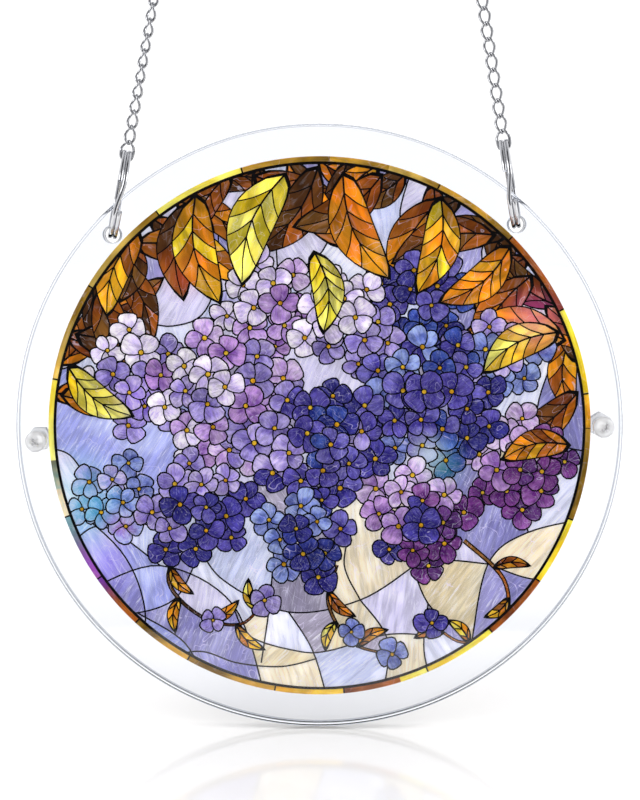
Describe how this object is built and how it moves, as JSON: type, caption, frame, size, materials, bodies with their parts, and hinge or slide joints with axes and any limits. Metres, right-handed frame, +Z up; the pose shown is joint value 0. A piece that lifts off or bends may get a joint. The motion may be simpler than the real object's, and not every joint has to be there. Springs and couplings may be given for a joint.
{
  "type": "acrylic suncatcher",
  "caption": "Round clear acrylic suncatcher: a printed stained-glass film between screwed discs, hung by split rings and a twisted curb chain.",
  "frame": {"origin": "inside top of the hanging ring, where a hook carries the part", "axes": "+Z up along the plumb line, +Y from the printed front to the back, +X to the right as seen from the front"},
  "size_m": [0.15, 0.022, 0.4046],
  "materials": {
    "clear_acrylic": "polished clear",
    "printed_film": "translucent print in stained-glass style",
    "clear_nylon": "moulded, translucent",
    "ring_steel": "polished plate",
    "chain_steel": "polished plate"
  },
  "bodies": {
    "root": {"front_plate": "clear_acrylic", "back_plate": "clear_acrylic", "printed_film": "printed_film", "screw_left": "clear_nylon", "screw_right": "clear_nylon", "nut_left": "clear_nylon", "nut_right": "clear_nylon", "split_ring_left": "ring_steel", "split_ring_right": "ring_steel", "chain_left": "chain_steel", "chain_right": "chain_steel", "hanging_ring": "ring_steel"}
  },
  "joints": []
}
